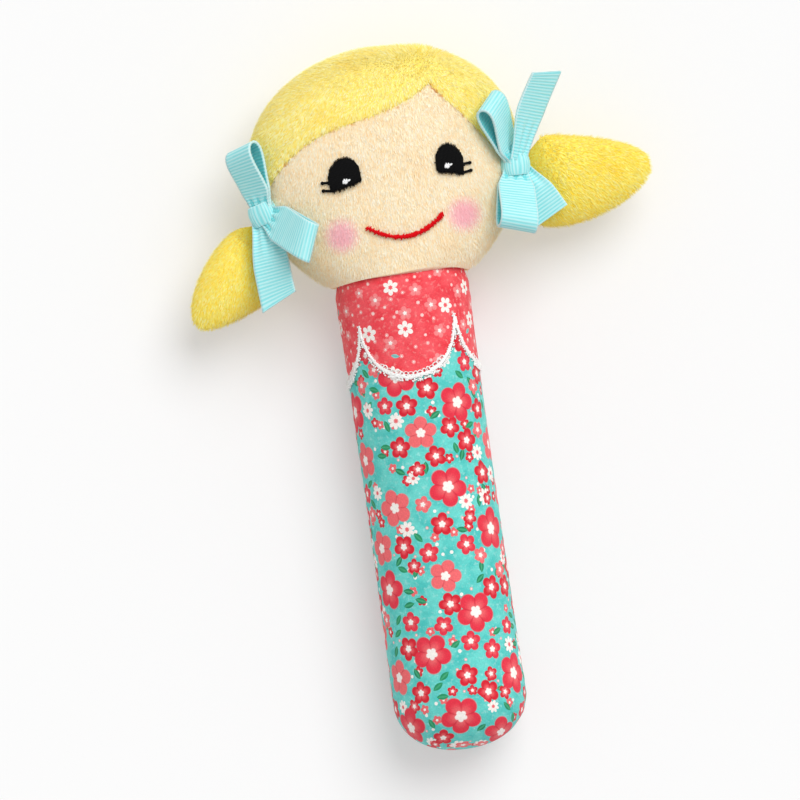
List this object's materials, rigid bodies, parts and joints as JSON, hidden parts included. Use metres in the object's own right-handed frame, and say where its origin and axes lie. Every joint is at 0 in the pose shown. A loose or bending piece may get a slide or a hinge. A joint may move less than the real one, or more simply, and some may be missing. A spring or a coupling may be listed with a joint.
{
  "type": "soft baby doll",
  "caption": "Soft squeaker baby doll with a plush head, embroidered face, stuffed pigtails and ribbon bows on a printed cotton grip body.",
  "frame": {"origin": "on the resting plane, under the body's axis and half way along the doll", "axes": "+X across the face to the doll's picture right, +Y from the foot to the crown, +Z out of the face"},
  "size_m": [0.1265, 0.188, 0.0427],
  "materials": {
    "teal_cotton": "printed plain-weave cotton, teal with small flowers",
    "red_cotton": "printed plain-weave cotton, coral red with small flowers",
    "white_lace": "narrow looped cotton lace",
    "fibre_fill": "loose polyester fibre",
    "squeaker_plastic": "plain moulded polyethylene",
    "cream_plush": "short-pile plush",
    "yellow_plush": "short-pile plush",
    "black_thread": "satin-stitch embroidery",
    "white_thread": "satin-stitch embroidery",
    "red_thread": "satin-stitch embroidery",
    "aqua_ribbon": "grosgrain ribbon with cross ribs"
  },
  "bodies": {
    "body": {"dress_front": "teal_cotton", "dress_back": "teal_cotton", "yoke_front": "red_cotton", "yoke_back": "red_cotton", "lace_trim": "white_lace", "lower_stuffing": "fibre_fill", "upper_stuffing": "fibre_fill", "squeaker_base": "squeaker_plastic", "squeaker_reed": "squeaker_plastic", "squeaker_bellows": "squeaker_plastic"},
    "squeaker_top": {"squeaker_cap": "squeaker_plastic"},
    "head": {"face_panel": "cream_plush", "hair_front": "yellow_plush", "hair_back": "yellow_plush", "head_stuffing": "fibre_fill", "left_eye": "black_thread", "right_eye": "black_thread", "eye_glints": "white_thread", "mouth": "red_thread", "left_bow_loops": "aqua_ribbon", "left_bow_tails": "aqua_ribbon", "left_bow_knot": "aqua_ribbon", "right_bow_loops": "aqua_ribbon", "right_bow_tails": "aqua_ribbon", "right_bow_knot": "aqua_ribbon"},
    "left_pigtail": {"left_pigtail_front": "yellow_plush", "left_pigtail_back": "yellow_plush", "left_pigtail_stuffing": "fibre_fill"},
    "right_pigtail": {"right_pigtail_front": "yellow_plush", "right_pigtail_back": "yellow_plush", "right_pigtail_stuffing": "fibre_fill"}
  },
  "joints": [
    {"name": "neck_nod", "type": "hinge", "parent": "body", "child": "head", "pos_m": [0, 0.0271, 0.0169], "axis": [1, 0, 0], "range_deg": [-15, 15], "stiffness_Nm_per_rad": 0.2},
    {"name": "left_pigtail_flop", "type": "hinge", "parent": "head", "child": "left_pigtail", "pos_m": [-0.03268, 0.04442, 0.0169], "axis": [0.488, -0.8728, 0], "range_deg": [-4, 60], "stiffness_Nm_per_rad": 0.03},
    {"name": "right_pigtail_flop", "type": "hinge", "parent": "head", "child": "right_pigtail", "pos_m": [0.0363, 0.05316, 0.0169], "axis": [0.2743, 0.9616, 0], "range_deg": [-4, 60], "stiffness_Nm_per_rad": 0.03},
    {"name": "squeaker_press", "type": "slide", "parent": "body", "child": "squeaker_top", "axis": [0, 0, -1], "range_m": [0, 0.008], "stiffness_N_per_m": 200, "deforming": ["squeaker_bellows"]}
  ]
}
